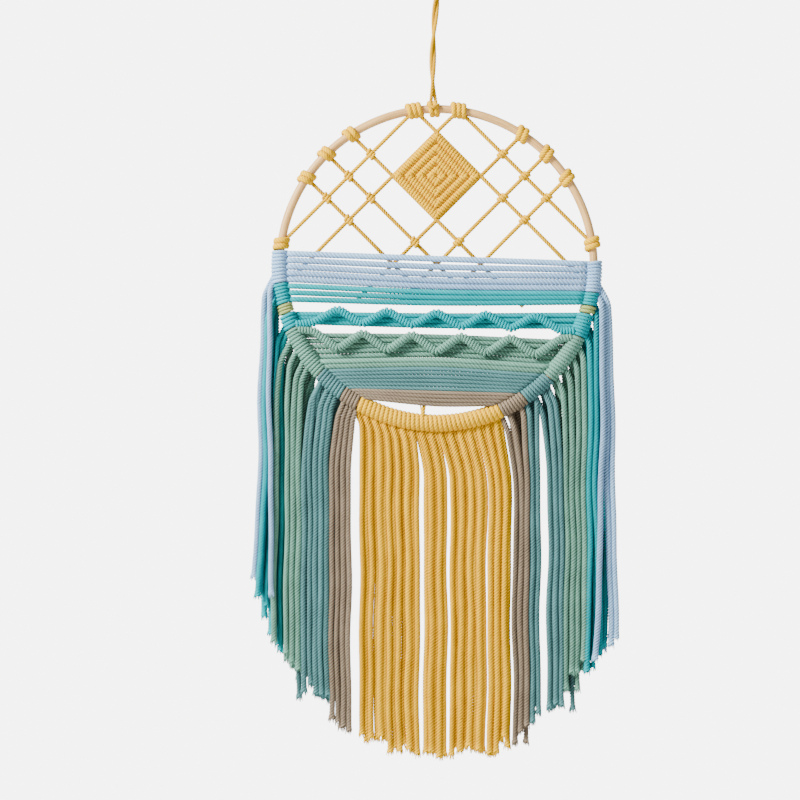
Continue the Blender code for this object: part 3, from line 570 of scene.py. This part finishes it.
def cotton(name, colour, groove_shade):
    """Plied cotton: painted shade between the plies, with fine fibres along them and a paler, fuzzy cut end."""
    material, wire, shader = new_material(name, 0.9, specular=0.12)
    around, along, _ = wire.node("ShaderNodeUVMap", {"uv_map": "CordMap"}).parts()
    tone, cut_end, taut = [wire.node("ShaderNodeAttribute", {"attribute_name": label}, "Fac")
                           for label in ("tone", "cut_end", "taut")]
    crown = ((around * (math.tau * PLIES) + math.pi).cosine() * 0.5 + 0.5).kept()
    # A taut cord gets less of the painted shade in its grooves, and a shallower bump.
    crown = crown + (1 - crown) * taut * 0.30
    fibres = wire.flat_noise(around * 16.0 + along * 0.55, along * 0.30 - around * 2.0, 2.0)
    cloud = wire.node("ShaderNodeTexNoise", Vector=wire.node("ShaderNodeTexCoord", output="Object"),
                      Scale=45.0, Detail=1.0)

    # deep is the cord's colour darkened as painted shade for the grooves between the plies; further down it
    # also darkens some strands at random.
    deep = shaded(colour, groove_shade, COTTON_SHADE)
    pale = (*[min(1.0, channel * 1.18) for channel in colour], 1)
    # Painted shade: towards the grooves between the plies the colour darkens to deep.
    body = wire.mixed(crown ** 1.4, deep, (*colour, 1))
    body = wire.mixed((fibres * 0.75 + cloud * 0.5 + tone * 0.10 - 0.42).kept(), body, pale)
    body = wire.mixed((0.14 - tone * 0.14).kept(), body, deep)
    body = wire.mixed(cut_end * 0.45, body, pale)
    body.feed(shader.inputs["Base Color"])
    bump = wire.node("ShaderNodeBump", Height=crown * 0.5 + fibres * 0.9, Strength=0.55, Distance=0.0005)
    bump.feed(shader.inputs["Normal"])
    return material


def beech(name, colour):
    """Pale smooth wood with fine grain and short flecks that run along the hoop."""
    material, wire, shader = new_material(name, 0.5)
    along, around, _ = wire.node("ShaderNodeUVMap", {"uv_map": "UVMap"}).parts()
    grain = wire.flat_noise(along * 26.0, around * 22.0, 4.0, 0.65)
    flecks = (wire.flat_noise(along * 210.0, around * 60.0, 2.0) * 3.0 - 1.55).kept()

    dark = shaded(colour, 0.55, WOOD_SHADE)
    base = wire.mixed((grain * 2.4 - 0.70).kept(), dark, (*colour, 1))
    base = wire.mixed(flecks * 0.7, base, dark)
    base.feed(shader.inputs["Base Color"])
    (grain * 0.25 + 0.38).feed(shader.inputs["Roughness"])
    bump = wire.node("ShaderNodeBump", Height=grain - flecks * 0.4, Strength=0.25, Distance=0.0004)
    bump.feed(shader.inputs["Normal"])
    return material


def yarn(colour):
    """The cotton of a colour, made when it is first asked for."""
    name, value = f"{colour}_cotton_cord", getattr(bpy.context.scene.hanging_colours, colour)
    return bpy.data.materials.get(name) or cotton(name, value, PAINTED_GROOVE_SHADE[colour])


# ---------------- settings


def size_property(label, note, default, low, high):
    return FloatProperty(name=label, description=note, default=default, min=low, max=high, unit="LENGTH")


def colour_property(label, value, note):
    return FloatVectorProperty(name=label, description=note, default=value, min=0, max=1, size=3,
                               subtype="COLOR")


class HangingSizes(PropertyGroup):
    """Sizes that someone who re-dresses the hanging would change."""

    cord: size_property("Cord Radius", "Half the thickness of a hanging cord", 0.00264, 0.001, 0.004)
    lay: size_property("Lay Length", "Length in which a ply goes once round its cord", 0.0112, 0.004, 0.05)
    step: size_property("Mesh Step", "Distance between the rings of a cord's mesh", 0.00128, 0.0005, 0.005)
    sway: size_property("Sway", "How far a strand wanders from its straight way", 0.0006, 0, 0.003)
    fray: size_property("Fray Length", "Length of the loosened cut end of a strand", 0.0080, 0.001, 0.02)


class HangingColours(PropertyGroup):
    """Colours of the cords, the wood and the studio."""

    gold: colour_property("Gold", (1.0, 0.53, 0.0), "Net, hanging cord and middle fringe")
    lavender: colour_property("Lavender", (0.37, 0.63, 1.0), "Upper level cords")
    turquoise: colour_property("Turquoise", (0.0, 0.38, 0.43), "Second set of level cords")
    sage: colour_property("Sage", (0.18, 0.41, 0.31), "Third set of level cords")
    dusty_teal: colour_property("Dusty Teal", (0.105, 0.27, 0.28), "Fourth set of level cords")
    taupe: colour_property("Taupe", (0.29, 0.225, 0.155), "Lowest level cords")
    olive: colour_property("Olive", (0.42, 0.50, 0.17), "Short bindings on the hoop")
    wood: colour_property("Wood", (0.82, 0.50, 0.17), "Hoop")
    floor: colour_property("Floor", (0.88, 0.875, 0.865), "Studio floor")


# ---------------- pieces


class HANGING_OT_hoop(Operator):
    """Turn the wooden hoop"""

    bl_idname = "hanging.hoop"
    bl_label = "Wooden Hoop"

    def execute(self, context):
        bpy.ops.object.select_all(action="DESELECT")
        bpy.ops.mesh.primitive_torus_add(
            major_radius=HOOP_RADIUS, minor_radius=WOOD_RADIUS, major_segments=HOOP_STEPS,
            minor_segments=WOOD_STEPS, location=(0, 0, HOOP_HEIGHT), rotation=(math.pi / 2, 0, 0),
            generate_uvs=True)
        ring = context.object
        ring.name = ring.data.name = "wooden_hoop"
        bpy.ops.object.transform_apply(location=True, rotation=True, scale=True)
        for face in ring.data.polygons:
            across = face.center - Vector((0, 0, HOOP_HEIGHT))
            face.select = across.normalized().dot(face.normal) < INNER_SIDE
        bpy.ops.object.mode_set(mode="EDIT")
        bpy.ops.mesh.select_mode(type="FACE")
        bpy.ops.transform.shrink_fatten(value=INNER_SHIFT)
        bpy.ops.mesh.select_all(action="SELECT")
        bpy.ops.mesh.vertices_smooth(factor=WOOD_SMOOTHING, repeat=1)
        bpy.ops.object.mode_set(mode="OBJECT")
        bpy.ops.object.shade_smooth()
        ring.data.materials.append(beech("pale_beech", context.scene.hanging_colours.wood))
        place(ring, "beech", "hoop")
        return {"FINISHED"}


class HANGING_OT_hanging_cord(Operator):
    """Tie the hanging cord: lark's head, twisted pair, knot and loop"""

    bl_idname = "hanging.hanging_cord"
    bl_label = "Hanging Cord"

    def twist(self, foot, phase):
        """The way of one cord of the twisted pair."""
        heights = np.linspace(foot[2] - HOOP_HEIGHT + TWIST_FOOT, TWIST_TOP + TWIST_OVER, TWIST_POINTS)
        share = (heights - heights[0]) / (heights[-1] - heights[0])
        turn = np.pi * (heights - heights[0]) / TWIST_TURN + phase
        spread = TWIST_SPREAD + TWIST_SPLAY * np.clip(1 - share * SPLAY_PARTS, 0, 1)
        lean = foot[0] * (1 - share) - TWIST_BOW * np.sin(np.pi * share)
        return np.stack((lean + spread * np.cos(turn), spread * np.sin(turn), heights + HOOP_HEIGHT), axis=1)

    def execute(self, context):
        work = Cordage("hanging_cord")
        work.coil(hoop_arc(LARKS_HEAD_ANGLE - LARKS_HEAD_HALF, LARKS_HEAD_ANGLE + LARKS_HEAD_HALF), LARKS_HEAD)
        foot = on_hoop(math.radians(LARKS_HEAD_ANGLE))
        work.lay(work.smooth([foot + np.array(p) for p in BRIDGE]), LOOP_HALF)
        for phase in (0, np.pi):
            work.lay(self.twist(foot, phase), TWIST_HALF)

        knot = TWIST_TOP + KNOT_RISE
        t = np.linspace(0, math.tau, KNOT_POINTS)
        ball = np.stack(((2 + np.cos(3 * t)) * np.cos(2 * t) * KNOT_ACROSS,
                         (2 + np.cos(3 * t)) * np.sin(2 * t) * KNOT_ACROSS,
                         np.sin(3 * t) * KNOT_UP), axis=1) + spot(0, 0, knot)
        work.lay(ball, KNOT_CORD_HALF, axis=(0, 0, 1))
        loop_foot = spot(0, 0, knot + LOOP_RISE)
        side = [loop_foot + np.array((x, 0, z)) for x, z in LOOP_SIDE]
        route = side + [np.array((0, 0, LOOP_TOP))] + [point * np.array((-1, 1, 1)) for point in side[::-1]]
        work.lay(work.smooth(route), LOOP_HALF)
        work.finish("hanging_cord", "gold", "hanging_loop")
        return {"FINISHED"}


def crossing(falling, rising):
    """Where a falling and a rising cord of the net cross."""
    fall, rise = NET_HEIGHTS[falling], NET_HEIGHTS[rising]
    return (fall - rise) / 2, (fall + rise) / 2


def net_depth(height, sign):
    """How far behind the hoop's plane a cord of the net lies at a height."""
    share = min(1.0, max(0.0, (NET_DIP_FROM - height) / (NET_DIP_FROM - NET_DIP_TO)))
    return NET_DIP[sign] * share * share * (3 - 2 * share)


def net_line(row, sign):
    """Points of a falling cord of the net, or of its mirror image, and the angles it is tied to the hoop at."""
    line = NET_HEIGHTS[row.line]
    start = row.start or 135 - math.degrees(math.asin(line / math.sqrt(2) / HOOP_RADIUS))
    ties = [start]
    top_x, top_z = HOOP_RADIUS * math.cos(math.radians(start)), HOOP_RADIUS * math.sin(math.radians(start))
    if row.end_x is None:
        ties.append(SIDE_KNOT_ANGLE)
        end_x = HOOP_RADIUS * math.cos(math.radians(SIDE_KNOT_ANGLE))
    else:
        end_x = row.end_x or (line - NET_END) / (1 - sign * math.tan(CORD_TILT))
    points = [spot(sign * x, net_depth(line - x, sign), line - x)
              for x in np.linspace(top_x, end_x, NET_POINTS)]
    points[0] = spot(sign * top_x, 0, top_z)
    return points, [angle if sign > 0 else 180 - angle for angle in ties]


class HANGING_OT_net(Operator):
    """Tie the golden net to the hoop's upper half and knot it where its cords cross"""

    bl_idname = "hanging.net"
    bl_label = "Golden Net"

    def execute(self, context):
        work, knots = Cordage("net_cords"), Cordage("net_knots")
        ties, knotted = set(), set()
        for row in DIAGONALS:
            for sign in (1, -1):
                points, angles = net_line(row, sign)
                ties.update(round(angle, 3) for angle in angles)
                work.lay(work.smooth(points), NET_HALF)
                for other in row.knots:
                    x, z = crossing(row.line, other)
                    key = (round(sign * x, 4), round(z, 4))
                    if key in knotted:
                        continue
                    knotted.add(key)
                    lean = (FALLING if x * sign < 0 else RISING) * KNOT_HALF
                    middle = spot(sign * x, 0, z)
                    knots.coil(smooth_path([middle - lean, middle, middle + lean], KNOT_STEP), NET_KNOT)
        for angle in ties:
            half = TOP_TIE_HALF if abs(angle - 90) < TOP_TIE_RANGE else TIE_HALF
            knots.coil(hoop_arc(angle - half, angle + half), HOOP_TIE)
        work.finish("net_cords", "gold", "golden_net")
        knots.finish("net_knots", "gold", "golden_net")
        return {"FINISHED"}


class HANGING_OT_medallion(Operator):
    """Fill the middle of the net with a diamond of hitches, row inside row"""

    bl_idname = "hanging.medallion"
    bl_label = "Diamond Medallion"

    def execute(self, context):
        work = Cordage("net_medallion")
        half = MEDALLION_REACH / math.sqrt(2)
        centre = spot(0, 0, MEDALLION_HEIGHT)
        pitch = half / MEDALLION_ROWS
        for row in range(2 * MEDALLION_ROWS):
            reach = half - pitch * (row / 2 + FIRST_ROW)
            corners = [centre + (FALLING * a + RISING * b) * reach
                       for a, b in ((-1, -1), (1, -1), (1, 1), (-1, 1), (-1, -1))]
            for start, stop in zip(corners, corners[1:]):
                over = (stop - start) / np.linalg.norm(stop - start) * ROW_OVERLAP
                spine = smooth_path([start - over, (start + stop) / 2, stop + over], ROW_STEP)
                if row % 2:
                    work.lay(spine + np.array((0, LOW_ROW_BACK, 0)), LOW_ROW_HALF, sides=2)
                else:
                    work.lay(spine, ROW_HALF, sides=2)
                    work.coil(spine, MEDALLION_HITCHES)
        work.finish("net_medallion", "gold", "golden_net")
        return {"FINISHED"}


def band_angles(band, side):
    """Angle of each of a band's cords on the hoop, in radians, from the top one down."""
    start, stop = (band.left_from, band.left_to) if side == "left" else (band.right_from, band.right_to)
    step = (stop - start) / band.cords
    below = [math.radians(start + step * (i + 0.5)) for i in range(band.cords)]
    return [math.pi + a if side == "left" else -a for a in below]


def side_share(angle):
    """1 at the level line and falling to 0 towards the bottom of the hoop."""
    return math.cos(angle) ** LEVEL_POWER


def leaving(angle, low):
    """Angle where a tail leaves the hoop: near the level line it runs down behind the winding first."""
    tuck = (low - angle) * TUCK_SHARE * side_share(angle)
    return angle + tuck - LEAVE_DROP * math.copysign(1, math.cos(angle))


def side_places():
    """Where the side strands hang: by band and side, a list of (cord, layer, leave angle, top, middle, end)."""
    found = {(band.name, side): [] for band in BANDS for side in SIDES}
    angles = {(band.name, side): band_angles(band, side) for band in BANDS for side in SIDES}
    for side, row in SIDES.items():
        for letter, names in LETTERS.items():
            roots = [(name, cord) for name in names for cord in range(len(angles[name, side]))]
            for keys in (("front", "rear"), ("middle", "back")):
                places = sorted((i + LAYERS[key].shift, key) for key in keys
                                for i, mark in enumerate(getattr(row, key)) if mark == letter)
                for number, (place, key) in enumerate(places):
                    layer = LAYERS[key]
                    name, cord = roots[int((number + 0.5) / len(places) * len(roots))]
                    own = angles[name, side]
                    below = leaving(own[cord], own[-1])
                    leave = leaving(own[cord] - layer.rise * (own[1] - own[0]), own[-1])
                    lean = abs(math.cos(below))
                    rim = (HOOP_RADIUS + layer.clear * lean) * lean
                    steep = STEEP_SHARE * lean ** STEEP_POWER * (1 - side_share(below))
                    middle = row.outermost - row.pitch * place
                    top = rim + (middle - rim) * (TOP_SHARE + steep)
                    end = middle + row.drift * max(0.0, 1 - place / row.drift_places)
                    if key == "front" and place in row.crossing:
                        drift, depth = row.crossing[place]
                        end, layer = end + drift, layer._replace(depth=depth)
                    found[name, side].append((cord, layer, leave, *[row.sign * x for x in (top, middle, end)]))
    return found


def fall_points(angle, leave, layer, xs, length):
    """A strand's way from behind its winding down and out. xs: near the top, in the middle and at the end."""
    root = round_wood(leave, layer.turn, ROOT_REACH)
    down = np.array((math.cos(leave), 0, math.sin(leave) - 1))
    out = root + down / np.linalg.norm(down) * WAY_OUT
    out[1] = (out[1] + layer.depth) / 2
    top, middle, end = xs
    top_z = out[2] - FIRST_FALL - FALL_SLOPE * abs(top - out[0])
    middle_z, end_z = MIDDLE_HEIGHT + HOOP_HEIGHT, on_hoop(angle, HOOP_RADIUS + WOOD_RADIUS)[2] - length
    return [root, out] + [np.array((x, layer.depth, z)) for x, z in (
        (top, top_z), (middle, middle_z), ((middle + end) / 2, (middle_z + end_z) / 2), (end, end_z))]


class HANGING_OT_coloured_cords(Operator):
    """Wind the coloured cords on the hoop, stretch them across it and let their tails hang"""

    bl_idname = "hanging.coloured_cords"
    bl_label = "Coloured Cords"

    def wind(self, band, work):
        for start, stop in ((180 + band.left_from, 180 + band.left_to), (-band.right_to, -band.right_from)):
            work.coil(hoop_arc(start + BAND_MARGIN, stop - BAND_MARGIN), BAND_WRAP)

    def stretch(self, band, work):
        """The band's level cords."""
        angles = {side: band_angles(band, side) for side in SIDES}
        for heights, depth, turn in LEVELS:
            for cord, height in heights.get(band.name, {}).items():
                middle = spot(0, depth, height)
                ends = []
                for side in SIDES:
                    root = round_wood(angles[side][cord], turn, ROOT_REACH)
                    lead = root + (middle - root) / np.linalg.norm(middle - root) * LEVEL_LEAD
                    lead[1] = depth * LEAD_DEPTH
                    ends.append((root, lead))
                (left, left_lead), (right, right_lead) = ends
                path = work.smooth([left, left_lead, middle, right_lead, right])
                work.lay(path, band.half, twist=work.sizes.lay * LEVEL_TWIST, taut=1.0)

    def zigzag(self, band, work):
        """The band's bar of hitches, from its winding on the left to that on the right."""
        shape = ZIGZAGS[band.name]
        left, right = [round_wood(band_angles(band, side)[shape.cord], ZIGZAG_LEAVES, ZIGZAG_ROOT)
                       for side in SIDES]
        turns = []
        for i in range(2 * DIAMONDS + 1):
            x = DIAMOND_WIDTH / 2 * (i - DIAMONDS)
            height = (shape.corner, shape.turn)[i % 2] - x * math.tan(CORD_TILT)
            turns.append(spot(x, ZIGZAG_DEPTH, height))
        rounded = []
        for before, turn, after in zip([left] + turns, turns, turns[1:] + [right]):
            rounded += [turn + (before - turn) * BEND_SHARE, turn + (before + after - 2 * turn) * CUT_SHARE,
                        turn + (after - turn) * BEND_SHARE]
        work.coil(smooth_path([left, *rounded, right], ZIGZAG_STEP), ZIGZAG_HITCHES)

    def execute(self, context):
        places = side_places()
        chance = random.Random(SEEDS["side_cuts"])
        for band in BANDS:
            work = Cordage("on_hoop")
            self.wind(band, work)
            self.stretch(band, work)
            if band.name in ZIGZAGS:
                self.zigzag(band, work)
            work.finish(f"{band.name}_on_hoop", band.colour, band.name)

            fringe = Cordage("fringe")
            for side in SIDES:
                fall = band.left_fall if side == "left" else band.right_fall
                angles = band_angles(band, side)
                for cord, layer, leave, top, middle, end in places[band.name, side]:
                    length = fall + chance.uniform(-LENGTH_SPREAD, LENGTH_SPREAD)
                    end += chance.uniform(-END_SPREAD, END_SPREAD)
                    points = fall_points(angles[cord], leave, layer, (top, middle, end), length)
                    fringe.hanging(points, layer)
            fringe.finish(f"{band.name}_fringe", band.colour, band.name)
        return {"FINISHED"}


class HANGING_OT_olive_ties(Operator):
    """Wind the two short olive bindings"""

    bl_idname = "hanging.olive_ties"
    bl_label = "Olive Bindings"

    def execute(self, context):
        for name, start, stop in TIES:
            work = Cordage("winding")
            work.coil(hoop_arc(start + TIE_MARGIN, stop - TIE_MARGIN), OLIVE_TIE)
            work.finish(f"{name}_winding", "olive", name)
        return {"FINISHED"}


class HANGING_OT_golden_fringe(Operator):
    """Tie the golden fringe along the bottom of the hoop"""

    bl_idname = "hanging.golden_fringe"
    bl_label = "Golden Fringe"

    def tuft(self, heads):
        """The little tuft on top of the winding."""
        foot = on_hoop(TUFT_ANGLE, TUFT_RADIUS, TUFT_DEPTH)
        stub = smooth_path([foot + np.array(p) for p in TUFT_STUB], TUFT_STEP)
        heads.lay(stub, np.linspace(TUFT_FOOT_HALF, TUFT_TIP_HALF, len(stub)), end=TUFT_FRAY)
        across, deep = TUFT_ROUND
        for number in range(TUFT_FIBRES):
            turn, lean = heads.FIBRE_TURN * number, number - TUFT_FIBRES // 2
            root = foot + np.array((across * math.cos(turn), deep * math.sin(turn), TUFT_HEIGHT))
            heads.fibre([root + np.array((x * lean, 0, z)) for x, z in TUFT_LEAN], TUFT_FIBRE_HALF)

    def execute(self, context):
        heads = Cordage("larks_heads")
        places = [clump.first + (clump.last - clump.first) * i / (clump.strands - 1)
                  for clump in CLUMPS for i in range(clump.strands)]
        heads.coil(hoop_arc(GOLD_FROM, GOLD_TO), GOLD_WRAP, sides=3)
        self.tuft(heads)

        chance = random.Random(SEEDS["golden_cuts"])
        fringe = Cordage("golden_strands")
        for i, place_x in enumerate(places):
            layer = GOLD_LAYERS[i % 2]
            angle = math.radians(GOLD_FROM + (GOLD_TO - GOLD_FROM) * (i + 0.5) / len(places))
            length = GOLD_FALL + chance.uniform(-LENGTH_SPREAD, LENGTH_SPREAD)
            root_x = HOOP_RADIUS * math.cos(angle)
            xs = (root_x + (place_x - root_x) * GOLD_TOP_SHARE, place_x,
                  place_x + chance.uniform(-END_SPREAD, END_SPREAD))
            fringe.hanging(fall_points(angle, angle, layer, xs, length), layer)
        heads.finish("golden_larks_heads", "gold", "golden_fringe")
        fringe.finish("golden_strands", "gold", "golden_fringe")
        return {"FINISHED"}


class HANGING_OT_studio(Operator):
    """Set the pale floor, the soft lights and the camera"""

    bl_idname = "hanging.studio"
    bl_label = "Studio"

    def execute(self, context):
        camera = bpy.data.objects.new("camera", bpy.data.cameras.new("camera"))
        camera.data.lens, camera.data.sensor_width = LENS, SENSOR
        camera.location = CAMERA_PLACE
        camera.rotation_euler = (math.pi / 2, 0, 0)
        context.collection.objects.link(camera)
        context.scene.camera = camera

        bpy.ops.object.select_all(action="DESELECT")
        bpy.ops.mesh.primitive_plane_add(size=FLOOR_SIZE, location=(0, 0, FLOOR_HEIGHT))
        floor = context.object
        floor.name = "floor"
        material, _, shader = new_material("pale_floor", 0.9)
        shader.inputs["Base Color"].default_value = (*context.scene.hanging_colours.floor, 1)
        floor.data.materials.append(material)

        for name, place_at, size, power, colour in LAMPS:
            data = bpy.data.lights.new(name, "AREA")
            data.size, data.energy, data.color = size, power, colour
            lamp = bpy.data.objects.new(name, data)
            lamp.location = place_at
            lamp.rotation_euler = (Vector(LIGHTS_AIM) - lamp.location).to_track_quat("-Z", "Y").to_euler()
            context.collection.objects.link(lamp)
        world = bpy.data.worlds.new("studio")
        world.use_nodes = True
        background = world.node_tree.nodes["Background"]
        background.inputs["Color"].default_value = (*BACKDROP_COLOUR, 1)
        seen = Wire(world.node_tree).node("ShaderNodeLightPath", output="Is Camera Ray")
        (seen * BACKDROP_SEEN + BACKDROP_LIGHT).feed(background.inputs["Strength"])
        context.scene.world = world
        return {"FINISHED"}


class HANGING_PT_panel(Panel):
    """Lists the hanging's sizes, its colours and its pieces"""

    bl_idname = "HANGING_PT_panel"
    bl_label = "Macrame Hanging"
    bl_space_type = "VIEW_3D"
    bl_region_type = "UI"
    bl_category = "Macrame"

    def draw(self, context):
        layout = self.layout
        for group in (context.scene.hanging_sizes, context.scene.hanging_colours):
            column = layout.column()
            for key in group.bl_rna.properties.keys():
                if key not in ("rna_type", "name"):
                    column.prop(group, key)
        for operator in OPERATORS:
            layout.operator(operator.bl_idname)


OPERATORS = (HANGING_OT_studio, HANGING_OT_hoop, HANGING_OT_hanging_cord, HANGING_OT_net, HANGING_OT_medallion,
             HANGING_OT_coloured_cords, HANGING_OT_olive_ties, HANGING_OT_golden_fringe)
CLASSES = (HangingSizes, HangingColours, *OPERATORS, HANGING_PT_panel)


def register():
    for item in CLASSES:
        bpy.utils.register_class(item)
    bpy.types.Scene.hanging_sizes = PointerProperty(type=HangingSizes)
    bpy.types.Scene.hanging_colours = PointerProperty(type=HangingColours)


def unregister():
    del bpy.types.Scene.hanging_colours
    del bpy.types.Scene.hanging_sizes
    for item in reversed(CLASSES):
        bpy.utils.unregister_class(item)


def main():
    register()
    bpy.ops.hanging.studio()
    bpy.ops.hanging.hoop()
    bpy.ops.hanging.hanging_cord()
    bpy.ops.hanging.net()
    bpy.ops.hanging.medallion()
    bpy.ops.hanging.coloured_cords()
    bpy.ops.hanging.olive_ties()
    bpy.ops.hanging.golden_fringe()


if __name__ == "__main__":
    main()
